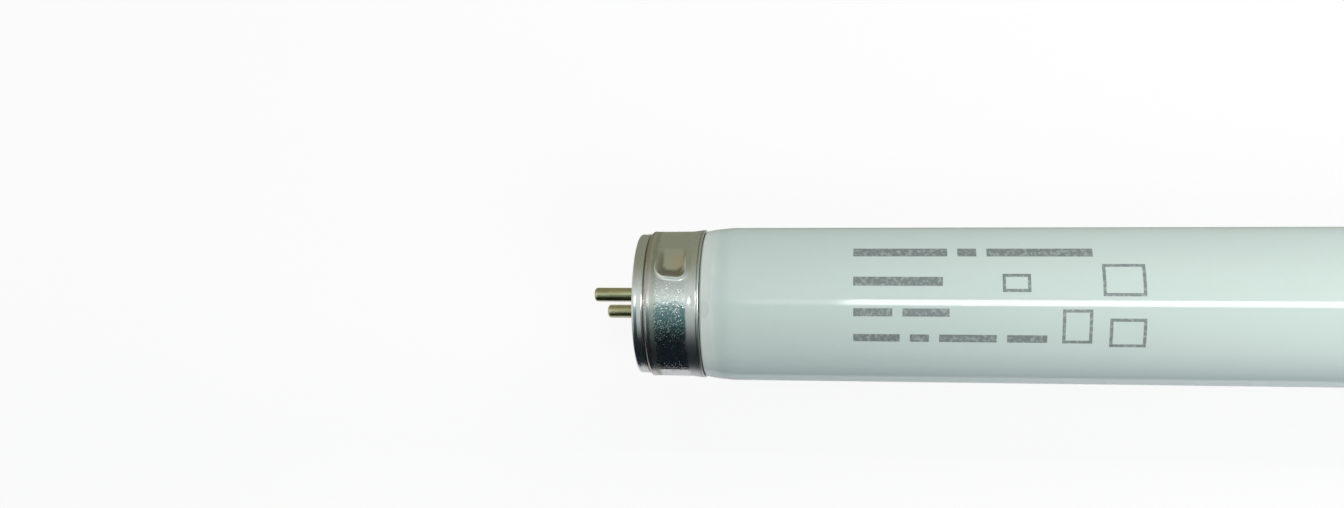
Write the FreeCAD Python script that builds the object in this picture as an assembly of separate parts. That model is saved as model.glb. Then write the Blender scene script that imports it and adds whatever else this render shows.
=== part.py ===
import FreeCAD, Part
import math
import os
from FreeCAD import Vector

# Fluorescent tube with a two-pin cap at each end, in millimetres.
# The origin is the middle of the lamp, X runs along the tube, and both pairs of pins stand in the XZ plane.
# Each end is drawn in its own frame: from the middle of the cap's front face, with +X into the lamp.

# Lamp
face_to_face = 1199.4  # between the front faces of the two caps
glass_diameter = 26.0
glass_wall = 0.7

# Glass end: the tube is drawn in to a neck, and a flared stem is fused to the neck's rim
neck_length = 7.0
shoulder_bevel = 0.5
draw_length = 4.7  # where the tube begins to taper, behind the shoulder
draw_depth = 0.58
seal_length = 2.0  # fused glass at the rim, where the stem joins the neck
flare_mouth_diameter = 19.6
flare_depth = 14.0
pinch_diameter = 9.0  # where the flare closes on the lead wires
pinch_length = 4.0

# Cap shell
cap_wall = 0.3
cap_length = 11.2
ring_diameter = 23.9
ring_length = 1.8
ring_chamfer = 0.4
lip_opening = 19.6  # hole that the turned-in front lip leaves for the disc
groove_depth = 0.25  # rolled in behind the ring
sleeve_diameter = 24.8
sleeve_shoulder_length = 0.5
band_length = 2.0  # flared band behind the sleeve
band_flare = 0.25
shoulder_gap = 0.1  # between the cap's rear edge and the glass shoulder

# Pockets pressed into the sleeve, which grip the glass neck: flat floors, closed at one end by a wall,
# that run out of the round sleeve at the other
pocket_count = 2
pocket_start = 4.0  # behind the front face
pocket_length = 4.9
pocket_reach = 1.7  # from the middle of the floor to the wall at the closed end
pocket_depth = 0.7
pocket_corner_radius = 1.2
pocket_turn = 16.0  # degrees from the plane of the pins to the middle of the floor
neck_clearance = 0.05

# Insulating disc, held between the lip and the ridge that the groove leaves inside
disc_hold = 0.15  # overlap of the ridge on the disc's edge
disc_clearance = 0.05

# Contact pins, shouldered on the front of the disc and flared behind it
pin_reach = 7.1  # in front of the cap's face
pin_spacing = 12.7
pin_diameter = 2.35
pin_tip_chamfer = 0.35
pin_seat_diameter = 1.9  # through the disc
pin_hole_clearance = 0.02
pin_flare = 0.2

# Lead wires
wire_diameter = 0.6
wire_spread = 6.4  # between the two wires where they leave the pinch

x_axis = Vector(1, 0, 0)
glass_radius = glass_diameter / 2
ring_radius = ring_diameter / 2
sleeve_radius = sleeve_diameter / 2
pin_radius = pin_diameter / 2
pin_seat_radius = pin_seat_diameter / 2
neck_radius = sleeve_radius - pocket_depth - cap_wall - neck_clearance
shoulder_x = cap_length + shoulder_gap
brow_radius = glass_radius - draw_depth
draw_x = shoulder_x + draw_length
rim_x = shoulder_x - neck_length
pinch_x = rim_x + flare_depth
ridge_radius = ring_radius - groove_depth - cap_wall
disc_radius = ridge_radius + disc_hold
disc_back = ring_length - cap_wall - disc_clearance
pin_back = disc_back + pin_flare
pin_offsets = {"upper": pin_spacing / 2, "lower": -pin_spacing / 2}


def turned(corners):
    # Solid turned about the X axis from a closed section of (x, radius) corners
    section = Part.makePolygon([Vector(x, 0, radius) for x, radius in corners + corners[:1]])
    return Part.Face(section).revolve(Vector(), x_axis, 360)


def rod(radius, start_x, end_x, offset=0):
    # Cylinder along X, set off from the axis in Z
    return Part.makeCylinder(radius, end_x - start_x, Vector(start_x, 0, offset), x_axis)


def glass_half():
    # One end of the glass and half of the tube, with the sealed space inside
    middle = face_to_face / 2
    neck_inside = neck_radius - glass_wall
    tube_inside = glass_radius - glass_wall
    glass = turned([
        (pinch_x, 0),
        (pinch_x, pinch_diameter / 2),
        (rim_x, flare_mouth_diameter / 2),
        (rim_x, neck_radius),
        (shoulder_x, neck_radius),
        (shoulder_x, brow_radius - shoulder_bevel),
        (shoulder_x + shoulder_bevel, brow_radius),
        (draw_x, glass_radius),
        (middle, glass_radius),
        (middle, 0),
    ])
    inside = turned([
        (pinch_x + pinch_length, 0),
        (pinch_x + pinch_length, pinch_diameter / 2),
        (rim_x + seal_length, neck_inside),
        (shoulder_x + glass_wall, neck_inside),
        (draw_x, tube_inside),
        (middle, tube_inside),
        (middle, 0),
    ])
    return glass.cut(inside)


def glass_tube():
    halves = [at_end(glass_half(), side) for side in ("left", "right")]
    return halves[0].fuse(halves[1]).removeSplitter()


def pockets(growth, corner_radius):
    # What the press pushes in, grown by the wall for the inside of the cap
    length = pocket_length + 2 * growth
    closed_end = -pocket_reach - growth
    floor = sleeve_radius - pocket_depth - growth
    corner = Vector(pocket_start - growth, closed_end, floor)
    form = Part.makeBox(length, glass_radius - closed_end, glass_radius - floor, corner)
    if corner_radius:
        upright = [edge for edge in form.Edges if edge.tangentAt(0).z and edge.CenterOfMass.y < 0]
        form = form.makeFillet(corner_radius, upright)
    step = 360.0 / pocket_count
    return [form.rotated(Vector(), x_axis, step * i - pocket_turn) for i in range(pocket_count)]


def cap_shell():
    groove_radius = ring_radius - groove_depth
    outside = turned([
        (0, 0),
        (0, ring_radius - ring_chamfer),
        (ring_chamfer, ring_radius),
        (ring_length, ring_radius),
        (ring_length, groove_radius),
        (ring_length + sleeve_shoulder_length, sleeve_radius),
        (cap_length - band_length, sleeve_radius),
        (cap_length, sleeve_radius + band_flare),
        (cap_length, 0),
    ])
    slope = math.atan2(sleeve_radius - groove_radius, sleeve_shoulder_length)
    ridge_x = ring_length + cap_wall * math.tan(slope / 2)
    inside = turned([
        (cap_wall, 0),
        (cap_wall, disc_radius + disc_clearance),
        (ring_length - cap_wall, disc_radius + disc_clearance),
        (ridge_x, ridge_radius),
        (ridge_x + sleeve_shoulder_length, sleeve_radius - cap_wall),
        (cap_length, sleeve_radius - cap_wall),
        (cap_length, 0),
    ])
    outside = outside.cut(pockets(0, pocket_corner_radius))
    inside = inside.cut(pockets(cap_wall, 0))
    return outside.cut(inside).cut(rod(lip_opening / 2, 0, cap_wall))


def insulating_disc():
    disc = rod(disc_radius, cap_wall, disc_back)
    hole_radius = pin_seat_radius + pin_hole_clearance
    return disc.cut([rod(hole_radius, cap_wall, disc_back, offset) for offset in pin_offsets.values()])


def contact_pin(offset):
    pin = turned([
        (-pin_reach, 0),
        (-pin_reach, pin_radius - pin_tip_chamfer),
        (pin_tip_chamfer - pin_reach, pin_radius),
        (cap_wall, pin_radius),
        (cap_wall, pin_seat_radius),
        (disc_back, pin_seat_radius),
        (pin_back, pin_seat_radius + pin_flare),
        (pin_back, 0),
    ])
    return pin.translated(Vector(0, 0, offset))


def lead_wire(offset):
    # Straight from the pinch to the back of the pin, trimmed flush with both
    start = Vector(pinch_x, 0, math.copysign(wire_spread / 2, offset))
    end = Vector(pin_back, 0, offset)
    run = end - start
    spare = run.normalize() * wire_diameter
    length = start.distanceToPoint(end) + 2 * wire_diameter
    wire = Part.makeCylinder(wire_diameter / 2, length, start - spare, run)
    return wire.common(rod(neck_radius, pin_back, pinch_x))


def at_end(shape, side):
    # The right end is the left one turned half round about the vertical axis
    if side == "right":
        shape = shape.rotated(Vector(), Vector(0, 0, 1), 180)
        return shape.translated(Vector(face_to_face / 2, 0, 0))
    return shape.translated(Vector(-face_to_face / 2, 0, 0))


def main():
    os.makedirs("parts", exist_ok=True)
    glass_tube().exportStep("parts/glass_tube.step")
    end_pieces = {"cap_shell": cap_shell(), "insulating_disc": insulating_disc()}
    for level, offset in pin_offsets.items():
        end_pieces[level + "_pin"] = contact_pin(offset)
        end_pieces[level + "_lead_wire"] = lead_wire(offset)
    for side in ("left", "right"):
        for name, shape in end_pieces.items():
            at_end(shape, side).exportStep(f"parts/{side}_{name}.step")


main()
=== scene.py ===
import math

import bmesh
import bpy
from mathutils import Matrix, Vector


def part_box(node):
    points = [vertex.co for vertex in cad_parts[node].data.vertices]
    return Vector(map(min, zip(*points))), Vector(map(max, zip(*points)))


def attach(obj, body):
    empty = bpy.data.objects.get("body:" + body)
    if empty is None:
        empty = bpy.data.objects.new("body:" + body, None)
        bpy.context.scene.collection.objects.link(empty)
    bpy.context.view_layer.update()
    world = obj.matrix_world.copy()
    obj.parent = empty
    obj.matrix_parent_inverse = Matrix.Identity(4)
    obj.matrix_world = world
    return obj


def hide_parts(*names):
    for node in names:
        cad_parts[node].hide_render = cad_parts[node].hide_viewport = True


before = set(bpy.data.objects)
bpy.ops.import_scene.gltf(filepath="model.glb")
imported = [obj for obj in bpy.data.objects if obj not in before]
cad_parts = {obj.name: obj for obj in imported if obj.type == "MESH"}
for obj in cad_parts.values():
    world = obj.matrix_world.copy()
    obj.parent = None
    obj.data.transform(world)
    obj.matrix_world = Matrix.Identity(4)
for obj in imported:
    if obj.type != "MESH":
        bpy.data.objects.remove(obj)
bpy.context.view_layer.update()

scene = bpy.context.scene
scene.view_settings.view_transform = "Standard"
mm = 0.001
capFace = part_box("left_cap_shell")[0].x  # front face of the left cap; the right one is its mirror
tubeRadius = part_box("glass_tube")[1].z
viewTilt = math.radians(77)  # where the camera stands above the lamp, seen along the lamp


# small helpers for the node trees

def addNode(tree, kind, inputs=None, **settings):
    node = tree.nodes.new(kind)
    for key, value in settings.items():
        setattr(node, key, value)
    for key, value in (inputs or {}).items():
        if isinstance(value, bpy.types.NodeSocket):
            tree.links.new(value, node.inputs[key])
        else:
            node.inputs[key].default_value = value
    return node


def calc(tree, operation, *values, **settings):
    inputs = dict(enumerate(values))
    return addNode(tree, "ShaderNodeMath", inputs, operation=operation, **settings).outputs[0]


def product(tree, first, *others):
    for other in others:
        first = calc(tree, "MULTIPLY", first, other)
    return first


def distance(tree, offX, offY):
    return calc(tree, "SQRT", calc(tree, "MULTIPLY_ADD", offX, offX, product(tree, offY, offY)))


def mapRange(tree, value, low, high, start=0.0, end=1.0, smooth=True):
    inputs = {0: value, 1: low, 2: high, 3: start, 4: end}
    kind = "SMOOTHSTEP" if smooth else "LINEAR"
    return addNode(tree, "ShaderNodeMapRange", inputs, interpolation_type=kind).outputs[0]


def between(tree, value, rise, fall):
    return product(tree, mapRange(tree, value, *rise), mapRange(tree, value, *fall))


def splitVector(tree, vector):
    return addNode(tree, "ShaderNodeSeparateXYZ", {0: vector}).outputs


def joinVector(tree, x, y, z):
    return addNode(tree, "ShaderNodeCombineXYZ", {0: x, 1: y, 2: z}).outputs[0]


def turnFromFront(tree, at):
    # 0 level in front of the lamp, a quarter turn overhead, half a turn behind it
    return calc(tree, "ARCTAN2", at[2], product(tree, at[1], -1))


def newTree(name, inputs):
    tree = bpy.data.node_groups.new(name, "GeometryNodeTree")
    for label, kind in inputs:
        tree.interface.new_socket(label, in_out="INPUT", socket_type="NodeSocket" + kind)
    tree.interface.new_socket("Form", in_out="OUTPUT", socket_type="NodeSocketGeometry")
    return tree, tree.nodes.new("NodeGroupInput").outputs, tree.nodes.new("NodeGroupOutput").inputs


def closeTree(tree, geometry, finish, result, smoothly=True):
    # every tree ends in real geometry that carries its finish
    smooth = addNode(tree, "GeometryNodeSetShadeSmooth", {"Geometry": geometry, "Shade Smooth": smoothly})
    real = addNode(tree, "GeometryNodeRealizeInstances", {"Geometry": smooth.outputs[0]})
    dressed = addNode(tree, "GeometryNodeSetMaterial", {"Geometry": real.outputs[0], "Material": finish})
    tree.links.new(dressed.outputs[0], result["Form"])


def runTree(work, tree, values):
    modifier = work.modifiers.new(tree.name, "NODES")
    modifier.node_group = tree
    sockets = {item.name: item.identifier for item in tree.interface.items_tree if item.in_out == "INPUT"}
    for label, value in values.items():
        modifier[sockets[label]] = value


def newObject(name, data):
    made = bpy.data.objects.new(name, data)
    scene.collection.objects.link(made)
    return made


def asPiece(work, name, turn=None):
    # the evaluated result becomes a plain mesh at the origin
    ready = work.evaluated_get(bpy.context.evaluated_depsgraph_get())
    mesh = bpy.data.meshes.new_from_object(ready)
    mesh.name = name
    if turn is not None:
        mesh.transform(turn)
    form = bmesh.new()
    form.from_mesh(mesh)
    bmesh.ops.recalc_face_normals(form, faces=form.faces)
    form.to_mesh(mesh)
    form.free()
    return newObject(name, mesh)


def dropWork(work):
    mesh = work.data
    bpy.data.objects.remove(work)
    bpy.data.meshes.remove(mesh)


def settle(piece, slotName, *nodes):
    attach(piece, "root")
    if nodes:
        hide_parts(*nodes)


# finishes

def newFinish(name, **constants):
    material = bpy.data.materials.new(name)
    material.use_nodes = True
    tree = material.node_tree
    shader = tree.nodes["Principled BSDF"]
    for label, value in constants.items():
        shader.inputs[label].default_value = value
    place = addNode(tree, "ShaderNodeTexCoord").outputs["Object"]
    return material, tree, shader, place


def noise(tree, place, scale, detail, stretch=(1, 1, 1)):
    spread = addNode(tree, "ShaderNodeMapping", {"Vector": place, "Scale": stretch})
    values = {"Vector": spread.outputs[0], "Scale": scale, "Detail": detail, "Roughness": 0.55}
    return addNode(tree, "ShaderNodeTexNoise", values).outputs["Fac"]


def wander(tree, place, scale, detail):
    # noise that goes as far below nought as above it
    return calc(tree, "SUBTRACT", noise(tree, place, scale, detail), 0.5)


def blendColour(tree, share, first, second):
    return addNode(tree, "ShaderNodeMix", {0: share, 6: first, 7: second}, data_type="RGBA").outputs[2]


def fromFace(tree, place):
    # millimetres behind the nearer cap face
    along = splitVector(tree, place)[0]
    inward = calc(tree, "SUBTRACT", -capFace, calc(tree, "ABSOLUTE", along))
    return product(tree, inward, 1 / mm)


def raiseBump(tree, shader, height, depth, strength):
    bump = addNode(tree, "ShaderNodeBump", {"Height": height, "Distance": depth, "Strength": strength})
    tree.links.new(bump.outputs[0], shader.inputs["Normal"])


glassLook = {
    "powder": (0.62, 0.715, 0.675, 1),
    "powderThin": (0.54, 0.63, 0.60, 1),
    "cloudSize": 45.0,
    "cloudStretch": (0.35, 1, 1),
    "grainSize": 900.0,
    "grainShare": 0.2,
    "thinFrom": (0.42, 0.78),
    "thinMost": 0.35,
    "paleShoulderTint": (0.815, 0.87, 0.81, 1),
    "shoulderLightReach": (14.8, 12.2),  # mm behind the face, where the painted light on the shoulder fades in
    "endMost": 0.7,
    "shoulderLightRagged": 1.5,  # mm
    "raggedSize": 260.0,
    "smudge": (0.48, 0.52, 0.48, 1),
    "smudgeAt": (12.1, -4.5, 1.0, 7.5),  # mm behind the face, degrees from the view line, and half sizes
    "smudgeEdge": (1.15, 0.6),  # in half sizes, as the places of its rim
    "smudgeMost": 0.2,
    "rimAt": 1.2,
    "rimWidth": (0.13, 0.03),
    "rimSide": (0.3, 0.9),  # only behind the smudge
    "rimMost": 0.5,
    "smearSize": 70.0,
    "smearStretch": (0.15, 1, 1),
    "smearFrom": (0.35, 0.75),
    "rough": (0.05, 0.10),
    "waveSize": 55.0,
    "waveStretch": (0.25, 1, 1),
    "waveDepth": 0.00002,
    "waveStrength": 0.35,
}


def powderAndShoulderLight(tree, place):
    # thinner and thicker powder, with a paler band painted at the ends as light caught by the shoulders
    look = glassLook
    cloud = noise(tree, place, look["cloudSize"], 4, look["cloudStretch"])
    grain = product(tree, noise(tree, place, look["grainSize"], 2), look["grainShare"])
    patchy = calc(tree, "MULTIPLY_ADD", cloud, 1 - look["grainShare"], grain)
    thin = mapRange(tree, patchy, *look["thinFrom"], 0.0, look["thinMost"])
    colour = blendColour(tree, thin, look["powder"], look["powderThin"])
    # painted light: the paler band on the shoulder stands in for the light that its bevel catches
    uneven = wander(tree, place, look["raggedSize"], 3)
    ragged = calc(tree, "MULTIPLY_ADD", uneven, look["shoulderLightRagged"], fromFace(tree, place))
    end = mapRange(tree, ragged, *look["shoulderLightReach"], 0.0, look["endMost"])
    return blendColour(tree, end, colour, look["paleShoulderTint"])


def glassSmudge(tree, place, colour):
    # a worn spot on the left shoulder, with a paler rim behind it
    look = glassLook
    along, degrees, halfLength, halfTurn = look["smudgeAt"]
    at = splitVector(tree, place)
    offX = calc(tree, "DIVIDE", calc(tree, "SUBTRACT", fromFace(tree, place), along), halfLength)
    turn = calc(tree, "SUBTRACT", turnFromFront(tree, at), viewTilt + math.radians(degrees))
    off = distance(tree, offX, calc(tree, "DIVIDE", turn, math.radians(halfTurn)))
    leftOnly = calc(tree, "LESS_THAN", at[0], 0.0)
    patch = product(tree, mapRange(tree, off, *look["smudgeEdge"], 0.0, look["smudgeMost"]), leftOnly)
    colour = blendColour(tree, patch, colour, look["smudge"])
    fromRim = calc(tree, "ABSOLUTE", calc(tree, "SUBTRACT", off, look["rimAt"]))
    behindIt = mapRange(tree, offX, *look["rimSide"], 0.0, look["rimMost"])
    rim = product(tree, mapRange(tree, fromRim, *look["rimWidth"]), leftOnly, behindIt)
    return blendColour(tree, rim, colour, look["paleShoulderTint"])


def powderGlass():
    look = glassLook
    material, tree, shader, place = newFinish("powderGlass", IOR=1.5)
    colour = glassSmudge(tree, place, powderAndShoulderLight(tree, place))
    tree.links.new(colour, shader.inputs["Base Color"])
    smear = noise(tree, place, look["smearSize"], 3, look["smearStretch"])
    tree.links.new(mapRange(tree, smear, *look["smearFrom"], *look["rough"]), shader.inputs["Roughness"])
    wave = noise(tree, place, look["waveSize"], 1, look["waveStretch"])
    raiseBump(tree, shader, wave, look["waveDepth"], look["waveStrength"])
    return material


metalLook = {
    "bright": (0.86, 0.87, 0.855, 1),
    "stained": (0.66, 0.67, 0.64, 1),
    "stainSize": 320.0,
    "stainFrom": (0.5, 0.8),
    "stainMost": 0.5,
    "wanderSize": 500.0,
    "wander": 0.9,  # mm, how far the zones' edges wander
    # zones: mm behind the face where each fades in and out
    "sleeve": ((2.8, 4.2), (9.1, 8.4)),  # grained
    "band": (8.9, 9.1),
    "shoulderReflectStripe": ((1.95, 2.25), (3.3, 2.3)),  # the sleeve's front shoulder, tinted tan as a painted reflection
    "dullShadedStripe": ((2.9, 3.4), (4.3, 3.7)),  # between the shoulder and the grained sleeve; rougher, and darkened with painted shade
    "floorReflectReach": (5.8, 7.8),  # where the painted tan reflection on the pocket's floor sets in
    "pocketFloor": (-0.5, -1.0),  # mm outside the pocket's edge, so below nought inside it
    "grooves": ((1.88, 0.13), (10.82, 0.1)),  # mm behind the face, half width
    "grooveCore": 0.3,  # share of the half width that is full of painted shade and grime
    "shadeAndGrimeTone": (0.22, 0.215, 0.19, 1),
    # painted reflection: the warm tan of the shoulder stripe
    "tan": (0.62, 0.52, 0.45, 1),
    "floorReflectTan": (0.99, 0.83, 0.60, 1),
    "floorReflectShare": (0.35, 0.75),
    # painted shade: the darker olive colour of the dull stripe
    "dull": (0.60, 0.61, 0.54, 1),
    "zoneMost": 0.8,  # share of its own colour that a zone shows at most
    "roughRing": 0.27,
    "roughSleeve": 0.12,
    "roughSpots": 0.15,  # added in the speckle of the sleeve
    "roughBand": 0.35,
    "roughDull": 0.14,  # added in the dull stripe
    "lipPolish": 0.6,
    "grainSize": 2800.0,
    "grain": 1.2,
    "pitSize": 2600.0,
    "pitReach": 0.35,
    "pits": (-0.7, 0.3),
    "speckleFrom": (0.47, 0.64),
    "lineSize": 9000.0,
    "lineStretch": (1, 0.004, 0.004),  # marks that run round the cap
    "lines": 0.12,
    "reliefDepth": 0.00006,
    "reliefStrength": 0.5,
    "lip": ((-0.05, 0.05), (0.9, 0.765)),  # mm outside the pocket's edge
    "lipWave": 0.45,  # mm, the lip is rolled in two small waves
    "lipStart": 0.12,
    "lipDepth": 0.3,
    "lipClear": (0.45, 1.35),  # no grain beside the lip
}


def ownValue(tree, name):
    return addNode(tree, "ShaderNodeAttribute", attribute_name=name).outputs["Fac"]


def capZones(tree, place):
    look = metalLook
    behind = fromFace(tree, place)
    wavy = calc(tree, "MULTIPLY_ADD", wander(tree, place, look["wanderSize"], 2), look["wander"], behind)
    fromEdge = ownValue(tree, "lip")  # mm outside the pocket's edge
    lipShare = ownValue(tree, "lipShare")  # nought where the pocket's floor runs out
    return {
        "behind": behind,
        "fromEdge": fromEdge,
        "sleeve": between(tree, wavy, *look["sleeve"]),
        "band": mapRange(tree, wavy, *look["band"]),
        "tan": between(tree, behind, *look["shoulderReflectStripe"]),
        "dull": between(tree, wavy, *look["dullShadedStripe"]),
        "floor": product(tree, mapRange(tree, fromEdge, *look["pocketFloor"]), lipShare),
        "lip": product(tree, between(tree, fromEdge, *look["lip"]), lipShare),
    }


def capColour(tree, place, zones):
    look = metalLook
    patches = noise(tree, place, look["stainSize"], 4)
    stain = mapRange(tree, patches, *look["stainFrom"], 0.0, look["stainMost"])
    colour = blendColour(tree, stain, look["bright"], look["stained"])
    # painted reflection: the far part of the pocket's floor is tinted tan
    tanReflectShare = mapRange(tree, zones["behind"], *look["floorReflectReach"], *look["floorReflectShare"])
    colour = blendColour(tree, product(tree, zones["floor"], tanReflectShare), colour, look["floorReflectTan"])
    # painted shade and grime: darker along the pocket's walls and in the two grooves
    grime = ownValue(tree, "grime")
    for middle, halfWidth in look["grooves"]:
        beside = calc(tree, "ABSOLUTE", calc(tree, "SUBTRACT", zones["behind"], middle))
        inGroove = mapRange(tree, beside, halfWidth, halfWidth * look["grooveCore"])
        grime = calc(tree, "MAXIMUM", grime, inGroove)
    for zone, tone in ((grime, "shadeAndGrimeTone"), (zones["tan"], "tan"), (zones["dull"], "dull")):
        colour = blendColour(tree, product(tree, zone, look["zoneMost"]), colour, look[tone])
    return colour


def capRoughness(tree, place, zones):
    look = metalLook
    ring = look["roughRing"]
    speckle = mapRange(tree, noise(tree, place, look["pitSize"], 1), *look["speckleFrom"])
    onSleeve = calc(tree, "MULTIPLY_ADD", speckle, look["roughSpots"], look["roughSleeve"] - ring)
    offFloor = product(tree, zones["sleeve"], calc(tree, "SUBTRACT", 1.0, zones["floor"]))
    rough = calc(tree, "MULTIPLY_ADD", offFloor, onSleeve, ring)
    rough = calc(tree, "MULTIPLY_ADD", zones["band"], look["roughBand"] - ring, rough)
    rough = calc(tree, "MULTIPLY_ADD", zones["dull"], look["roughDull"], rough)
    return product(tree, rough, calc(tree, "MULTIPLY_ADD", zones["lip"], -look["lipPolish"], 1.0))


def capRelief(tree, place, zones):
    look = metalLook
    cells = {"Vector": place, "Scale": look["pitSize"]}
    pits = addNode(tree, "ShaderNodeTexVoronoi", cells).outputs["Distance"]
    pits = mapRange(tree, pits, 0.0, look["pitReach"], *look["pits"])
    grain = calc(tree, "MULTIPLY_ADD", wander(tree, place, look["grainSize"], 2), look["grain"], pits)
    grained = product(tree, zones["sleeve"], mapRange(tree, zones["fromEdge"], *look["lipClear"]))
    lines = product(tree, noise(tree, place, look["lineSize"], 2, look["lineStretch"]), look["lines"])
    height = calc(tree, "MULTIPLY_ADD", grained, grain, lines)
    phase = calc(tree, "SUBTRACT", look["lipStart"], zones["fromEdge"])
    waves = calc(tree, "SINE", product(tree, phase, math.tau / look["lipWave"]))
    return calc(tree, "MULTIPLY_ADD", product(tree, waves, zones["lip"]), look["lipDepth"], height)


def capMetal():
    material, tree, shader, place = newFinish("capMetal", Metallic=1.0)
    zones = capZones(tree, place)
    tree.links.new(capColour(tree, place, zones), shader.inputs["Base Color"])
    tree.links.new(capRoughness(tree, place, zones), shader.inputs["Roughness"])
    relief = capRelief(tree, place, zones)
    raiseBump(tree, shader, relief, metalLook["reliefDepth"], metalLook["reliefStrength"])
    return material


brassLook = {
    "clean": (0.76, 0.70, 0.43, 1),
    "dull": (0.36, 0.315, 0.15, 1),
    "tarnishSize": 700.0,
    "tarnishStretch": (0.5, 1, 1),
    "tarnishFrom": (0.42, 0.72),
    "tarnishMost": 0.6,
    "lineSize": 5200.0,
    "lineStretch": (0.03, 1, 1),  # lines left by drawing
    "lineFrom": (0.3, 0.7),
    "rough": (0.2, 0.36),
    "lineDepth": 0.00001,
    "lineStrength": 0.4,
}


def pinBrass():
    look = brassLook
    material, tree, shader, place = newFinish("pinBrass", Metallic=1.0)
    patches = noise(tree, place, look["tarnishSize"], 4, look["tarnishStretch"])
    tarnish = mapRange(tree, patches, *look["tarnishFrom"], 0.0, look["tarnishMost"])
    tree.links.new(blendColour(tree, tarnish, look["clean"], look["dull"]), shader.inputs["Base Color"])
    drawn = noise(tree, place, look["lineSize"], 3, look["lineStretch"])
    tree.links.new(mapRange(tree, drawn, *look["lineFrom"], *look["rough"]), shader.inputs["Roughness"])
    raiseBump(tree, shader, drawn, look["lineDepth"], look["lineStrength"])
    return material


boardLook = {
    "resin": (0.085, 0.055, 0.035, 1),
    "fibre": (0.19, 0.13, 0.085, 1),
    "fibreSize": 1500.0,
    "fibreStretch": (1, 0.35, 1),
    "fibreFrom": (0.45, 0.72),
    "rough": (0.38, 0.6),
    "fibreDepth": 0.00002,
    "fibreStrength": 0.5,
}


def phenolicBoard():
    look = boardLook
    material, tree, shader, place = newFinish("phenolicBoard")
    weave = noise(tree, place, look["fibreSize"], 5, look["fibreStretch"])
    fibres = mapRange(tree, weave, *look["fibreFrom"])
    tree.links.new(blendColour(tree, fibres, look["resin"], look["fibre"]), shader.inputs["Base Color"])
    tree.links.new(mapRange(tree, fibres, 0, 1, *look["rough"]), shader.inputs["Roughness"])
    raiseBump(tree, shader, fibres, look["fibreDepth"], look["fibreStrength"])
    return material


wireLook = {
    "dark": (0.52, 0.52, 0.51, 1),
    "bright": (0.62, 0.61, 0.59, 1),
    "lineSize": 4000.0,
    "lineStretch": (0.05, 1, 1),
    "lineFrom": (0.3, 0.7),
    "rough": (0.25, 0.4),
}


def wireSteel():
    look = wireLook
    material, tree, shader, place = newFinish("wireSteel", Metallic=1.0)
    drawn = noise(tree, place, look["lineSize"], 2, look["lineStretch"])
    tree.links.new(blendColour(tree, drawn, look["dark"], look["bright"]), shader.inputs["Base Color"])
    tree.links.new(mapRange(tree, drawn, *look["lineFrom"], *look["rough"]), shader.inputs["Roughness"])
    return material


inkLook = {
    "ink": (0.20, 0.23, 0.225, 1),
    "worn": (0.34, 0.395, 0.38, 1),
    "wearSize": 1700.0,
    "wearFrom": (0.46, 0.66),
}


def greyInk():
    look = inkLook
    material, tree, shader, place = newFinish("greyInk", Roughness=0.45)
    wear = mapRange(tree, noise(tree, place, look["wearSize"], 4), *look["wearFrom"])
    tree.links.new(blendColour(tree, wear, look["ink"], look["worn"]), shader.inputs["Base Color"])
    return material


finishes = {
    "glass": powderGlass(),
    "metal": capMetal(),
    "brass": pinBrass(),
    "board": phenolicBoard(),
    "wire": wireSteel(),
    "ink": greyInk(),
}
print("finishes ready:", len(finishes))


# turned pieces: a half section swept round the lamp's axis
# its corners are in millimetres: behind the face, radius, rounding

sectionRules = {
    "roundMost": 0.48,  # share of a side that a rounding may take
    "longRun": 0.25,  # a straight run this long gets a close row at each end, to hold its shading
    "hold": 0.06,  # how close
    "holdMost": 0.2,  # share of the run
    "shortest": 1e-6,
}


def roundCorner(here, before, after, rounding, steps):
    most = sectionRules["roundMost"]
    half = before.angle(after) / 2
    reach = min(rounding / math.tan(half), most * before.length, most * after.length)
    toMiddle = reach * math.tan(half) / math.sin(half)
    middle = here + (before.normalized() + after.normalized()).normalized() * toMiddle
    start = here + before.normalized() * reach - middle
    end = here + after.normalized() * reach - middle
    sweep = start.angle_signed(end)
    return [middle + Matrix.Rotation(-sweep * k / steps, 2) @ start for k in range(steps + 1)]


def divideRun(first, run, rowStep):
    hold = min(sectionRules["hold"] / run.length, sectionRules["holdMost"])
    pieces = max(1, math.ceil(run.length / rowStep))
    shares = {hold, 1 - hold, *(k / pieces for k in range(1, pieces))}
    return [first + run * share for share in sorted(shares)]


def softSection(corners, closed, steps, rowStep=1000.0):
    points = []
    count = len(corners)
    for i, (along, radius, rounding) in enumerate(corners):
        here = Vector((along, radius))
        openEnd = not closed and i in (0, count - 1)
        if openEnd or rounding == 0:
            points.append(here)
            continue
        before = Vector(corners[i - 1][:2]) - here
        after = Vector(corners[(i + 1) % count][:2]) - here
        points += roundCorner(here, before, after, rounding, steps)
    if closed:
        points.append(points[0])
    fine = [points[0]]
    for first, second in zip(points, points[1:]):
        run = second - first
        if run.length < sectionRules["shortest"]:
            continue
        if run.length > sectionRules["longRun"]:
            fine += divideRun(first, run, rowStep)
        fine.append(second)
    return fine


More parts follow.
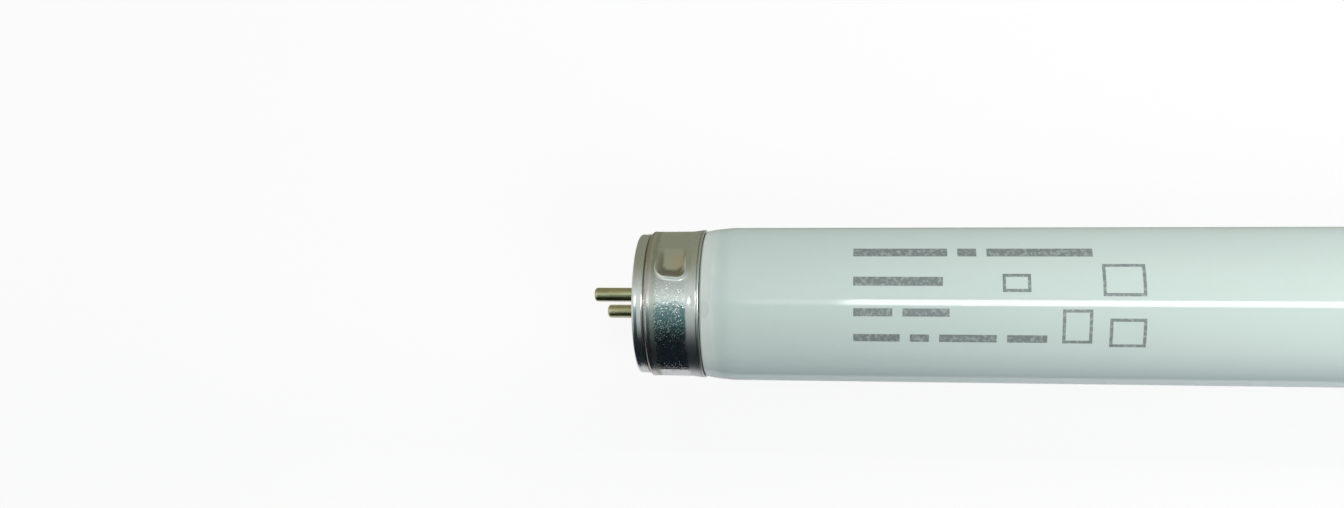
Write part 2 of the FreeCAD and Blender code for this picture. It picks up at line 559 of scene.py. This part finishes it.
def turnedTree():
    inputs = (("Section", "Geometry"), ("Segments", "Int"), ("Finish", "Material"))
    tree, given, result = newTree("turnedForm", inputs)
    section = given["Section"]
    rows = addNode(tree, "GeometryNodeAttributeDomainSize", {"Geometry": section}).outputs["Point Count"]
    columns = calc(tree, "ADD", given["Segments"], 1)
    grid = {"Size X": 1.0, "Size Y": 1.0, "Vertices X": rows, "Vertices Y": columns}
    sheet = addNode(tree, "GeometryNodeMeshGrid", grid)
    where = addNode(tree, "GeometryNodeInputPosition").outputs[0]
    flat = splitVector(tree, where)
    row = product(tree, calc(tree, "ADD", flat[0], 0.5), calc(tree, "SUBTRACT", rows, 1))
    angle = product(tree, calc(tree, "ADD", flat[1], 0.5), math.tau)
    picked = {"Geometry": section, "Index": calc(tree, "ROUND", row)}
    sample = addNode(tree, "GeometryNodeSampleIndex", picked, data_type="FLOAT_VECTOR")
    tree.links.new(where, sample.inputs["Value"])
    point = splitVector(tree, sample.outputs[0])
    across = product(tree, point[2], calc(tree, "SINE", angle))
    upward = product(tree, point[2], calc(tree, "COSINE", angle))
    spot = joinVector(tree, point[0], across, upward)
    swept = addNode(tree, "GeometryNodeSetPosition", {"Geometry": sheet.outputs["Mesh"], "Position": spot})
    seam = {"Geometry": swept.outputs[0], "Distance": 1e-6}
    joined = addNode(tree, "GeometryNodeMergeByDistance", seam)
    closeTree(tree, joined.outputs[0], given["Finish"], result)
    return tree


turnedForm = turnedTree()


def sectionObject(name, points):
    mesh = bpy.data.meshes.new(name)
    corners = [(along * mm, 0, max(radius, 0) * mm) for along, radius in points]
    mesh.from_pydata(corners, [(i, i + 1) for i in range(len(corners) - 1)], [])
    return newObject(name, mesh)


# glass tube, with both drawn ends and their stems

glassEnd = {
    "corners": (
        (18.3, 0.0, 0), (18.3, 4.5, 0.3), (4.3, 9.8, 0.3), (4.3, 11.35, 0.5), (11.3, 11.35, 0.1),
        (11.3, 12.38, 0.45), (13.2, 12.73, 5.0), (16.0, 13.0, 16.0),
    ),
    "segments": 256,
    "roundSteps": 10,
    "rowStep": 40.0,
}


def glassTube():
    faceAt = capFace / mm
    left = [(faceAt + along, radius, rounding) for along, radius, rounding in glassEnd["corners"]]
    right = [(-along, radius, rounding) for along, radius, rounding in reversed(left)]
    points = softSection(left + right, False, glassEnd["roundSteps"], glassEnd["rowStep"])
    work = sectionObject("tubeSection", points)
    runTree(work, turnedForm, {"Segments": glassEnd["segments"], "Finish": finishes["glass"]})
    piece = asPiece(work, "glassTube")
    dropWork(work)
    settle(piece, "white_glass", "glass_tube")
    print("glass tube:", len(piece.data.polygons), "faces")


# cap shells: turned, then two pockets pressed in

capShape = {
    "corners": (
        (0.3, 9.8, 0.05), (0.0, 9.8, 0.08), (0.0, 11.96, 0.5), (0.85, 11.86, 0.6), (1.76, 11.98, 0.3),
        (1.86, 11.68, 0.06), (2.3, 12.43, 0.45), (3.1, 12.37, 1.5), (9.1, 12.4, 1.0), (10.72, 12.62, 0.12),
        (10.82, 12.5, 0.06), (10.9, 12.65, 0.12), (11.2, 12.65, 0.12), (11.2, 12.12, 0.08),
        (2.47, 12.1, 0.1), (1.96, 11.4, 0.1), (1.5, 11.6, 0.05), (0.3, 11.6, 0.05),
    ),
    "segments": 384,
    "roundSteps": 4,
    "rowStep": 0.17,
    "sleeveRadius": 12.4,
    "pocketMiddle": 6.45,
    "pocketLength": 5.0,
    "pocketReach": 1.8,  # from the middle of the floor to the closed end
    "pocketCorner": 1.5,
    "pocketWall": 0.75,  # width of the soft wall between edge and floor
    "pocketRim": 0.2,  # metal raised at the edge
    "pocketSlope": 0.85,  # width of the slope outside it
    "pocketFloor": 11.7,  # distance of the flat floor from the axis
    "pocketTurn": 16.0,  # degrees
    "pocketSkew": 5.0,  # degrees, the wall is not quite along the cap
    "dent": (10.15, 1.0, 1.0),  # in the rear band: mm behind the face, degrees from the view line, radius
    "dentDepth": {"left": 0.17, "right": 0.0},
    # shares of the pocket's own sizes
    "front": -0.45,  # of the length, from the middle to where the front is reached
    "frontSteep": -0.65,  # of the slope's width, taken off in front
    "runOut": 0.8,  # of the wall's width: a floor less deep than this has a lower lip
    "frontShade": 0.55,  # of the painted shade at the closed end
    "endZone": (-0.9, 0.1),  # of the corner's radius, where the closed end sets in
    "grimeAt": (0.9, 0.7),  # of the wall's width: what heavy painted shade adds, and what there is everywhere
    "shadeSpread": (1.1, 0.55),  # the same
    "shadeShare": (0.4, 0.6),  # the same, of full painted shade
    "dentTop": 0.5,  # the dent runs out softly at its top
}


def pocketOutline(tree, given, at, side):
    # the distance to a pocket's edge is below nought inside the pocket
    beside = calc(tree, "SUBTRACT", at[0], given["Middle"])
    skewed = product(tree, beside, calc(tree, "TANGENT", given["Skew"]))
    toEnd = calc(tree, "SUBTRACT", product(tree, at[1], side, -1), skewed)
    straight = calc(tree, "SUBTRACT", product(tree, given["Length"], 0.5), given["Corner"])
    overX = calc(tree, "SUBTRACT", calc(tree, "ABSOLUTE", beside), straight)
    overY = calc(tree, "SUBTRACT", toEnd, calc(tree, "SUBTRACT", given["Reach"], given["Corner"]))
    outside = distance(tree, calc(tree, "MAXIMUM", overX, 0), calc(tree, "MAXIMUM", overY, 0))
    inside = calc(tree, "MINIMUM", calc(tree, "MAXIMUM", overX, overY), 0)
    edge = calc(tree, "SUBTRACT", calc(tree, "ADD", outside, inside), given["Corner"])
    toFront = mapRange(tree, beside, 0.0, product(tree, given["Length"], capShape["front"]))
    endZone = [product(tree, given["Corner"], share) for share in capShape["endZone"]]
    return edge, toFront, mapRange(tree, overY, *endZone)


def pocketShade(tree, given, edge, toFront, atEnd, pressedIn):
    # painted shade: lies along the foot of the wall, most at the closed end
    heavy = calc(tree, "MAXIMUM", product(tree, toFront, capShape["frontShade"]), atEnd)
    middle = product(tree, given["Wall"], calc(tree, "MULTIPLY_ADD", heavy, *capShape["grimeAt"]))
    spread = product(tree, given["Wall"], calc(tree, "MULTIPLY_ADD", heavy, *capShape["shadeSpread"]))
    foot = calc(tree, "ABSOLUTE", calc(tree, "ADD", edge, middle))
    share = calc(tree, "MULTIPLY_ADD", heavy, *capShape["shadeShare"])
    return product(tree, mapRange(tree, foot, spread, 0.0), pressedIn, share)


def dentScale(tree, given, where):
    at = splitVector(tree, where)
    offX = calc(tree, "SUBTRACT", at[0], given["Dent Along"])
    turn = calc(tree, "SUBTRACT", turnFromFront(tree, at), given["Dent Turn"])
    offY = product(tree, turn, given["Radius"])
    offY = calc(tree, "MINIMUM", offY, product(tree, offY, capShape["dentTop"]))
    deepest = calc(tree, "DIVIDE", given["Dent Depth"], given["Radius"])
    hollow = mapRange(tree, distance(tree, offX, offY), given["Dent Size"], 0.0, 0.0, deepest)
    keep = calc(tree, "SUBTRACT", 1.0, hollow)
    return joinVector(tree, 1.0, keep, keep)


def pressedTree():
    labels = ("Middle", "Length", "Reach", "Corner", "Wall", "Rim", "Slope", "Floor", "Radius", "Turn",
              "Skew", "Dent Along", "Dent Turn", "Dent Size", "Dent Depth")
    inputs = (("Shell", "Geometry"), ("Finish", "Material"), *((label, "Float") for label in labels))
    tree, given, result = newTree("pressedPockets", inputs)
    where = addNode(tree, "GeometryNodeInputPosition").outputs[0]
    spin = {"Vector": where, "Angle": given["Turn"]}
    turned = addNode(tree, "ShaderNodeVectorRotate", spin, rotation_type="X_AXIS")
    at = splitVector(tree, turned.outputs[0])
    side = calc(tree, "SIGN", at[2])  # the second pocket is opposite the first
    edge, toFront, atEnd = pocketOutline(tree, given, at, side)
    share = mapRange(tree, edge, 0.0, product(tree, given["Wall"], -1))
    radius = given["Radius"]
    square = calc(tree, "SUBTRACT", product(tree, radius, radius), product(tree, at[1], at[1]))
    depth = calc(tree, "MAXIMUM", calc(tree, "SUBTRACT", calc(tree, "SQRT", square), given["Floor"]), 0)
    pressedIn = mapRange(tree, depth, 0.0, product(tree, given["Wall"], capShape["runOut"]))
    steep = calc(tree, "MULTIPLY_ADD", toFront, capShape["frontSteep"], 1.0)
    slope = mapRange(tree, edge, product(tree, given["Slope"], steep), 0.0, smooth=False)
    rim = product(tree, slope, calc(tree, "SUBTRACT", 1.0, share), given["Rim"], pressedIn)
    pushed = calc(tree, "SUBTRACT", product(tree, share, depth), rim)
    lowered = calc(tree, "SUBTRACT", at[2], product(tree, pushed, side))
    unspin = {"Vector": joinVector(tree, at[0], at[1], lowered), "Angle": given["Turn"]}
    back = addNode(tree, "ShaderNodeVectorRotate", unspin, rotation_type="X_AXIS", invert=True)
    scaled = {0: back.outputs[0], 1: dentScale(tree, given, where)}
    dented = addNode(tree, "ShaderNodeVectorMath", scaled, operation="MULTIPLY")
    own = {
        "grime": pocketShade(tree, given, edge, toFront, atEnd, pressedIn),
        "lip": calc(tree, "DIVIDE", edge, mm),
        "lipShare": pressedIn,
    }
    shell = given["Shell"]
    for label, value in own.items():
        named = {"Geometry": shell, "Name": label, "Value": value}
        shell = addNode(tree, "GeometryNodeStoreNamedAttribute", named).outputs[0]
    pressed = addNode(tree, "GeometryNodeSetPosition", {"Geometry": shell, "Position": dented.outputs[0]})
    closeTree(tree, pressed.outputs[0], given["Finish"], result)
    return tree


def capShells():
    shape = capShape
    section = softSection(shape["corners"], True, shape["roundSteps"], shape["rowStep"])
    dentAlong, dentTurn, dentSize = shape["dent"]
    pressedForm = pressedTree()
    values = {
        "Finish": finishes["metal"],
        "Radius": shape["sleeveRadius"] * mm,
        "Turn": math.radians(shape["pocketTurn"]),
        "Skew": math.radians(shape["pocketSkew"]),
        "Dent Along": dentAlong * mm,
        "Dent Turn": viewTilt + math.radians(dentTurn),
        "Dent Size": dentSize * mm,
    }
    for label in ("Middle", "Length", "Reach", "Corner", "Wall", "Rim", "Slope", "Floor"):
        values[label] = shape["pocket" + label] * mm
    for side, turn in endTurns.items():
        work = sectionObject("capSection", section)
        runTree(work, turnedForm, {"Segments": shape["segments"], "Finish": finishes["metal"]})
        runTree(work, pressedForm, {**values, "Dent Depth": shape["dentDepth"][side] * mm})
        piece = asPiece(work, side + "CapShell", turn)
        settle(piece, "cap_metal", side + "_cap_shell")
        dropWork(work)
    print("cap shells:", len(piece.data.polygons), "faces each")


# contact pins

pinShape = {
    "corners": (
        (-7.1, 0.0, 0), (-7.1, 1.175, 0.62), (0.3, 1.175, 0.05), (0.3, 0.95, 0.05), (1.45, 0.95, 0.05),
        (1.65, 1.15, 0.05), (1.65, 0.0, 0),
    ),
    "segments": 64,
    "roundSteps": 10,
    "spacing": 12.7,
}


def contactPins():
    work = sectionObject("pinSection", softSection(pinShape["corners"], False, pinShape["roundSteps"]))
    runTree(work, turnedForm, {"Segments": pinShape["segments"], "Finish": finishes["brass"]})
    for side, turn in endTurns.items():
        for level, sign in (("Upper", 1), ("Lower", -1)):
            shift = Matrix.Translation((0, 0, sign * pinShape["spacing"] / 2 * mm))
            piece = asPiece(work, side + level + "Pin", turn @ shift)
            settle(piece, "pin_brass", f"{side}_{level.lower()}_pin")
    dropWork(work)
    print("contact pins: 4")


leftEnd = Matrix.Translation((capFace, 0, 0))
endTurns = {"left": leftEnd, "right": Matrix.Rotation(math.pi, 4, "Z") @ leftEnd}
glassTube()
capShells()
contactPins()


# printed marks: plain bars in grey ink, wrapped on the glass

markShape = {
    "thickness": 0.02,
    "start": 36.3,  # mm behind the face
    "gap": 1.6,
    "rows": (  # mm round the glass above the view line, bar height, bar lengths
        (9.2, 1.7, (15.0, 3.0, 16.5)),
        (3.8, 1.5, (14.2,)),
        (-1.25, 1.3, (6.2, 7.4)),
        (-5.5, 1.3, (7.4, 3.0, 9.0, 6.2)),
    ),
    "line": 0.5,  # width of the outlines
    "frames": (  # middle along and round the glass, length, height
        (62.0, 3.6, 4.4, 3.0), (78.5, 4.2, 6.6, 5.4), (71.3, -3.4, 4.6, 5.6), (79.0, -4.4, 5.6, 4.8),
    ),
}


def wrappedTree():
    inputs = (("Spots", "Geometry"), ("Radius", "Float"), ("Tilt", "Float"), ("Finish", "Material"))
    tree, given, result = newTree("wrappedMarks", inputs)
    block = {"Size": (1, 1, 1), "Vertices X": 3, "Vertices Y": 7, "Vertices Z": 2}  # enough rows to bend
    bar = addNode(tree, "GeometryNodeMeshCube", block).outputs["Mesh"]
    size = addNode(tree, "GeometryNodeInputNamedAttribute", {"Name": "barSize"}, data_type="FLOAT_VECTOR")
    spread = {"Points": given["Spots"], "Instance": bar, "Scale": size.outputs[0]}
    laid = addNode(tree, "GeometryNodeInstanceOnPoints", spread)
    real = addNode(tree, "GeometryNodeRealizeInstances", {"Geometry": laid.outputs[0]})
    at = splitVector(tree, addNode(tree, "GeometryNodeInputPosition").outputs[0])
    angle = calc(tree, "ADD", calc(tree, "DIVIDE", at[1], given["Radius"]), given["Tilt"])
    out = calc(tree, "ADD", given["Radius"], at[2])
    forward = product(tree, out, calc(tree, "COSINE", angle), -1)
    upward = product(tree, out, calc(tree, "SINE", angle))
    bent = {"Geometry": real.outputs[0], "Position": joinVector(tree, at[0], forward, upward)}
    wrapped = addNode(tree, "GeometryNodeSetPosition", bent)
    closeTree(tree, wrapped.outputs[0], given["Finish"], result, smoothly=False)
    return tree


def markBars():
    # middle along and round the glass, length, height
    shape = markShape
    bars = []
    for around, height, lengths in shape["rows"]:
        along = shape["start"]
        for length in lengths:
            bars.append((along + length / 2, around, length, height))
            along += length + shape["gap"]
    line = shape["line"]
    for along, around, length, height in shape["frames"]:
        for sign in (-1, 1):
            bars.append((along, around + sign * (height - line) / 2, length, line))
            bars.append((along + sign * (length - line) / 2, around, line, height - 2 * line))
    return bars


def printedMarks():
    bars = markBars()
    mesh = bpy.data.meshes.new("markSpots")
    mesh.from_pydata([(capFace + along * mm, around * mm, 0) for along, around, *_ in bars], [], [])
    mesh.attributes.new("barSize", "FLOAT_VECTOR", "POINT")
    for i, (_, _, length, height) in enumerate(bars):
        mesh.attributes["barSize"].data[i].vector = (length * mm, height * mm, markShape["thickness"] * mm)
    work = newObject("markSpots", mesh)
    runTree(work, wrappedTree(), {"Radius": tubeRadius, "Tilt": viewTilt, "Finish": finishes["ink"]})
    piece = asPiece(work, "printedMarks")
    dropWork(work)
    settle(piece, None)
    print("printed marks:", len(bars), "bars")


printedMarks()


# the discs and wires keep their solids

plainFinish = {"insulating_disc": "board", "upper_lead_wire": "wire", "lower_lead_wire": "wire"}


def plainNodes():
    for side in endTurns:
        for node, finish in plainFinish.items():
            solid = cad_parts[f"{side}_{node}"]
            solid.data.materials.clear()
            solid.data.materials.append(finishes[finish])
    print("solids dressed:", len(endTurns) * len(plainFinish))


plainNodes()


# floor, room and light

stageLook = {
    "floorHeight": -tubeRadius,
    "floorReach": 6.0,
    "floorColour": (0.26, 0.30, 0.34, 1),  # what it gives back as light
    "floorWhite": (0.93, 0.93, 0.93, 1),  # what the view and the gloss see
    "floorRough": 0.9,
    "floorShown": 0.9,  # how much of the floor's own white the view shows, the rest is its shading
    "floorMirrored": 0.3,  # the same in the gloss
    "shadowReach": (0.1, 0.32),  # from the lamp, where the shading fades out
    "room": (0.24, 0.27, 0.264, 1),
    "white": (1, 1, 1, 1),
}


def stageFinish(name):
    material = bpy.data.materials.new(name)
    material.use_nodes = True
    material.cycles.emission_sampling = "NONE"
    tree = material.node_tree
    return material, tree, tree.nodes["Material Output"].inputs["Surface"]


def stagePlane(name, corners, material):
    mesh = bpy.data.meshes.new(name)
    mesh.from_pydata(corners, [], [(0, 1, 2, 3)])
    mesh.materials.append(material)
    plane = newObject(name, mesh)
    return plane


def awayFromLamp(tree):
    at = splitVector(tree, addNode(tree, "ShaderNodeTexCoord").outputs["Object"])
    pastEnd = calc(tree, "MAXIMUM", calc(tree, "ADD", calc(tree, "ABSOLUTE", at[0]), capFace), 0.0)
    return distance(tree, pastEnd, at[1])


def paleFloor():
    look = stageLook
    material, tree, surface = stageFinish("paleFloor")
    shader = tree.nodes["Principled BSDF"]
    shader.inputs["Roughness"].default_value = look["floorRough"]
    shader.inputs["Specular IOR Level"].default_value = 0.0
    path = addNode(tree, "ShaderNodeLightPath").outputs
    direct = calc(tree, "ADD", path["Is Camera Ray"], path["Is Glossy Ray"])
    seen = calc(tree, "ADD", direct, path["Is Transmission Ray"], use_clamp=True)
    colour = blendColour(tree, seen, look["floorColour"], look["floorWhite"])
    tree.links.new(colour, shader.inputs["Base Color"])
    white = addNode(tree, "ShaderNodeEmission", {"Color": look["white"], "Strength": 1.0})
    shown = mapRange(tree, awayFromLamp(tree), *look["shadowReach"], look["floorShown"], 1.0)
    mirrored = product(tree, seen, look["floorMirrored"])
    share = calc(tree, "MAXIMUM", mirrored, product(tree, path["Is Camera Ray"], shown))
    mixed = addNode(tree, "ShaderNodeMixShader", {0: share, 1: shader.outputs[0], 2: white.outputs[0]})
    tree.links.new(mixed.outputs[0], surface)
    reach, low = look["floorReach"], look["floorHeight"]
    corners = [(-reach, -reach, low), (reach, -reach, low), (reach, reach, low), (-reach, reach, low)]
    stagePlane("floor", corners, material)


cardReach = 0.75  # half the length of both cards

# they stand just outside the view on both sides, show in the gloss, and the first also shades the underside
cards = {
    "darkCard": {
        "across": -0.024, "top": 0.014, "tone": (0.007, 0.011, 0.015, 1), "shade": (0.075, 0.105, 0.145, 1),
    },
    "greyCard": {
        "across": 0.02, "top": 0.014, "tone": (0.24, 0.25, 0.18, 1), "shade": None,
    },
}


def glossCards():
    for name, card in cards.items():
        material, tree, surface = stageFinish(name)
        shaded = addNode(tree, "ShaderNodeLightPath").outputs["Is Diffuse Ray"]
        tone = blendColour(tree, shaded, card["tone"], card["shade"] or card["tone"])
        glow = addNode(tree, "ShaderNodeEmission", {"Color": tone})
        tree.links.new(glow.outputs[0], surface)
        across, low, top = card["across"], stageLook["floorHeight"], card["top"]
        foot = [(-cardReach, across, low), (cardReach, across, low)]
        head = [(cardReach, across, top), (-cardReach, across, top)]
        plane = stagePlane(name, foot + head, material)
        plane.visible_camera = plane.visible_shadow = plane.visible_transmission = False
        plane.visible_diffuse = card["shade"] is not None


# what the gloss shows of the room, from the front (0) over the lamp (0.5) to the back (1)
roomTones = {
    "overhead": (
        (0.0, (0.004, 0.008, 0.011)), (0.15, (0.005, 0.012, 0.015)), (0.21, (0.012, 0.042, 0.043)),
        (0.29, (0.052, 0.135, 0.14)), (0.42, (0.11, 0.24, 0.24)), (0.447, (0.83, 0.94, 0.91)),
        (0.50, (0.58, 0.65, 0.62)), (0.60, (0.42, 0.47, 0.44)), (0.66, (0.36, 0.39, 0.36)),
        (0.78, (0.25, 0.26, 0.18)), (1.0, (0.24, 0.25, 0.17)),
    ),
    "beyondFace": (
        (0.0, (0.02, 0.025, 0.03)), (0.09, (0.05, 0.055, 0.06)), (0.17, (0.30, 0.32, 0.31)),
        (0.26, (0.62, 0.64, 0.62)), (0.45, (0.85, 0.87, 0.84)), (0.60, (0.58, 0.60, 0.56)),
        (0.68, (0.36, 0.38, 0.34)), (0.80, (0.25, 0.26, 0.18)), (1.0, (0.24, 0.25, 0.17)),
    ),
    "pastEnd": (0.62, 0.64, 0.61, 1),
    "faceTurn": (-0.22, -0.42),  # how far along the lamp the gaze goes where these two set in
    "endTurn": (-0.6, -0.8),
}


def toneRamp(tree, value, tones):
    ramp = addNode(tree, "ShaderNodeValToRGB", {0: value})
    stops = ramp.color_ramp.elements
    while len(stops) < len(tones):
        stops.new(0.5)
    for stop, (position, tone) in zip(stops, tones):
        stop.position = position
        stop.color = (*tone, 1)
    return ramp.outputs[0]


def room():
    world = bpy.data.worlds.new("room")
    scene.world = world
    world.use_nodes = True
    world.cycles.sampling_method = "NONE"
    tree = world.node_tree
    path = addNode(tree, "ShaderNodeLightPath").outputs
    shell = tree.nodes["Background"]
    shell.inputs["Color"].default_value = stageLook["room"]
    gaze = splitVector(tree, addNode(tree, "ShaderNodeTexCoord").outputs["Generated"])
    rise = calc(tree, "DIVIDE", turnFromFront(tree, gaze), math.pi)
    overhead = toneRamp(tree, rise, roomTones["overhead"])
    beyondFace = toneRamp(tree, rise, roomTones["beyondFace"])
    tone = blendColour(tree, mapRange(tree, gaze[0], *roomTones["faceTurn"]), overhead, beyondFace)
    tone = blendColour(tree, mapRange(tree, gaze[0], *roomTones["endTurn"]), tone, roomTones["pastEnd"])
    mirrored = addNode(tree, "ShaderNodeBackground", {"Color": tone}).outputs[0]
    white = addNode(tree, "ShaderNodeBackground", {"Color": stageLook["white"]}).outputs[0]
    shown = shell.outputs[0]
    for ray, layer in (("Is Glossy Ray", mirrored), ("Is Camera Ray", white)):
        shown = addNode(tree, "ShaderNodeMixShader", {0: path[ray], 1: shown, 2: layer}).outputs[0]
    tree.links.new(shown, tree.nodes["World Output"].inputs["Surface"])


# metres and watts; each one faces the point on the tube's axis that lies beside its own middle
lamps = {
    "strip": {"at": (0.431, -0.0347, 0.197), "size": (1.998, 0.027), "power": 1.71},
    "stripEnd": {"at": (-0.582, -0.0347, 0.197), "size": (0.028, 0.027), "power": 0.003},
    "behind": {"at": (0.0, 0.95, 0.75), "size": (2.4, 0.8), "power": 5.6},
    "leftFill": {"at": (-0.28, -0.28, 0.24), "size": (0.35, 0.3), "power": 1.7},
    "rightFill": {"at": (0.28, -0.28, 0.24), "size": (0.35, 0.3), "power": 1.7},
    "leftBackFill": {"at": (-0.28, 0.28, 0.22), "size": (0.35, 0.3), "power": 1.04},
    "rightBackFill": {"at": (0.28, 0.28, 0.22), "size": (0.35, 0.3), "power": 1.04},
}


def studioLamps():
    for name, lamp in lamps.items():
        light = bpy.data.lights.new(name, "AREA")
        light.shape = "RECTANGLE"
        light.size, light.size_y = lamp["size"]
        light.energy = lamp["power"]
        bulb = newObject(name, light)
        bulb.location = lamp["at"]
        bulb.visible_camera = False
        bulb.visible_glossy = name.startswith("strip")  # the strips show in the gloss, the others light
        bulb.visible_diffuse = not bulb.visible_glossy
        _, across, height = lamp["at"]
        bulb.rotation_euler = Vector((0, -across, -height)).to_track_quat("-Z", "Y").to_euler()


view = {
    "eye": (-0.5611, -0.05385, 0.23326),
    "lens": 37.5,
    "sensor": 36,
    "nearest": 0.01,
    "turns": ((13, "X"), (7.96, "Y"), (2.02, "X"), (0.31, "Z")),  # degrees from straight down
}


def lookAtLamp():
    data = bpy.data.cameras.new("camera")
    data.lens = view["lens"]
    data.sensor_width = view["sensor"]
    data.clip_start = view["nearest"]
    camera = newObject("camera", data)
    placed = Matrix.Translation(view["eye"])
    for degrees, axis in view["turns"]:
        placed = placed @ Matrix.Rotation(math.radians(degrees), 4, axis)
    camera.matrix_world = placed
    scene.camera = camera


paleFloor()
glossCards()
room()
studioLamps()
lookAtLamp()
print("stage ready")
